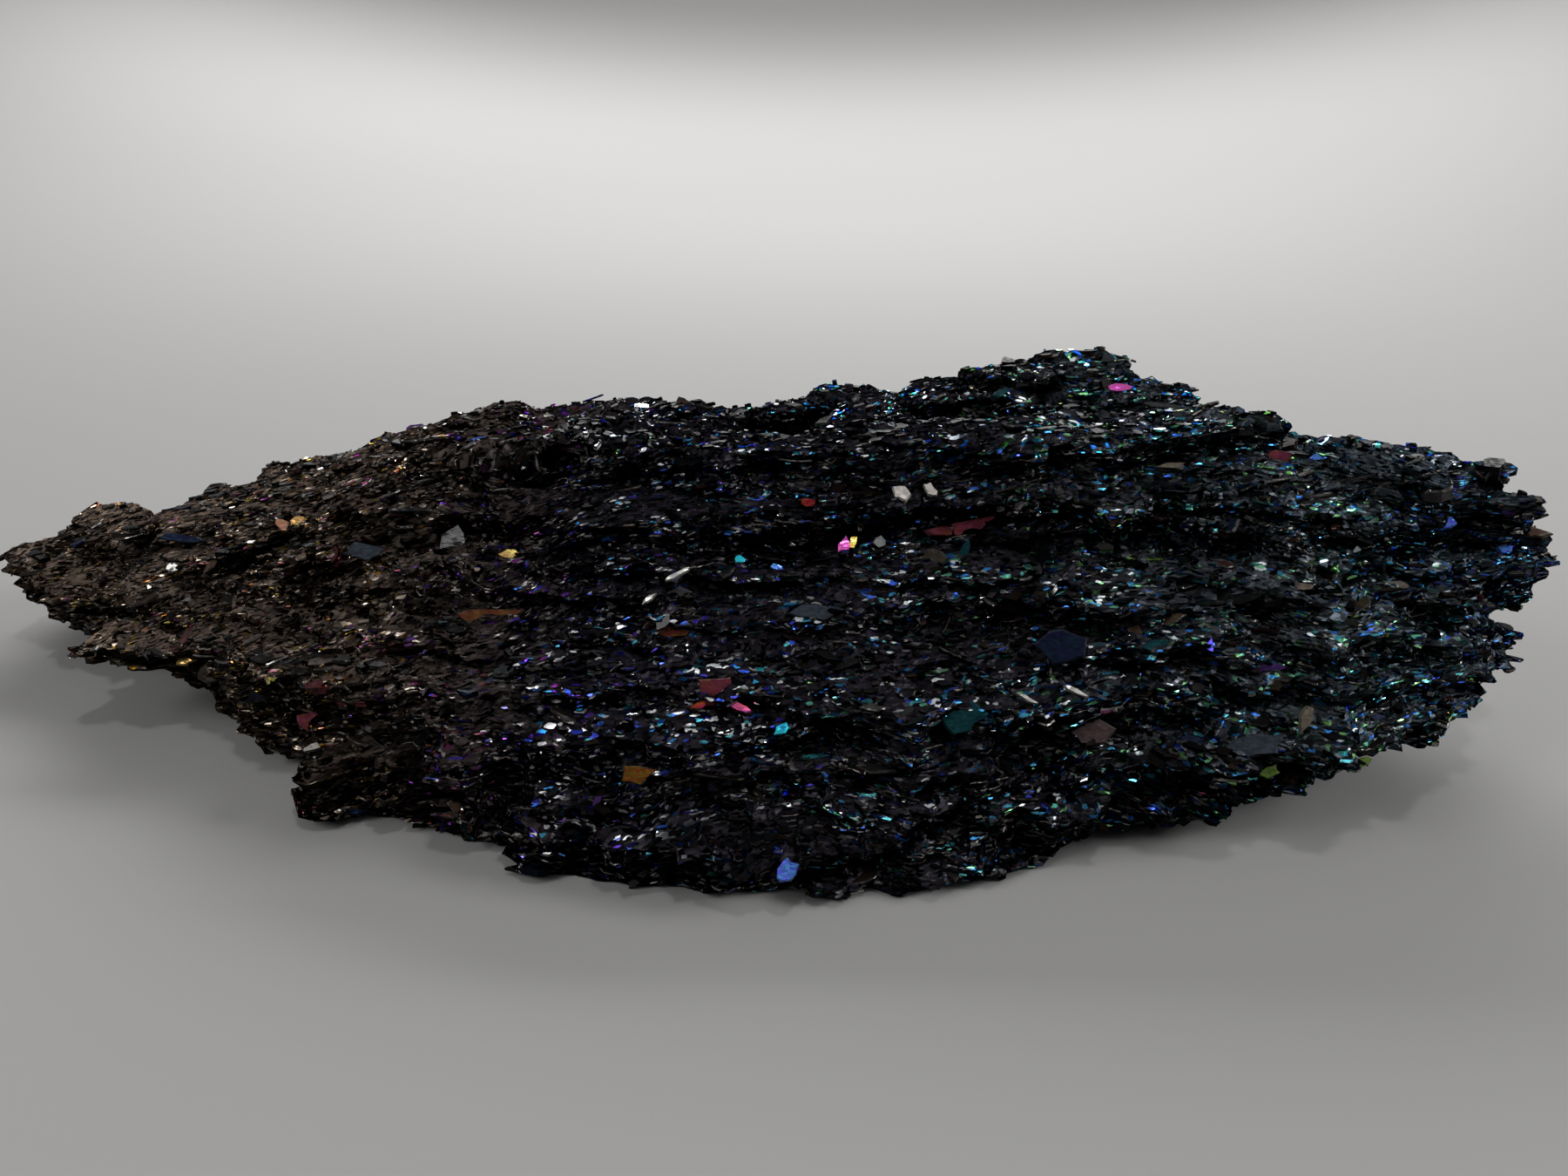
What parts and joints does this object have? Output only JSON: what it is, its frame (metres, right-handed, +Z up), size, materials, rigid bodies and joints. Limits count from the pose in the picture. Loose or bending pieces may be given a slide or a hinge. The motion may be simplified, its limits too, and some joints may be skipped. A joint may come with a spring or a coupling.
{
  "type": "carborundum crystal",
  "caption": "Loose chunk of carborundum crystal: thin dark plates grown together in layers that fan out from a narrow tip to a broad ragged end, on a flat broken foot.",
  "frame": {"origin": "under the middle of the chunk's box, on the surface that its flat foot rests on", "axes": "+X from the narrow tip to the broad ragged end, +Y from the sloping front to the back, +Z up through the layers"},
  "size_m": [0.1052, 0.0484, 0.0198],
  "materials": {
    "silicon_carbide": "near-black plates with glossy flat faces and bright thin edges, tarnished gold and bronze at the narrow tip, violet and blue in the middle, and teal and green at the broad end"
  },
  "bodies": {
    "root": {"carborundum_crystal": "silicon_carbide"}
  },
  "joints": []
}
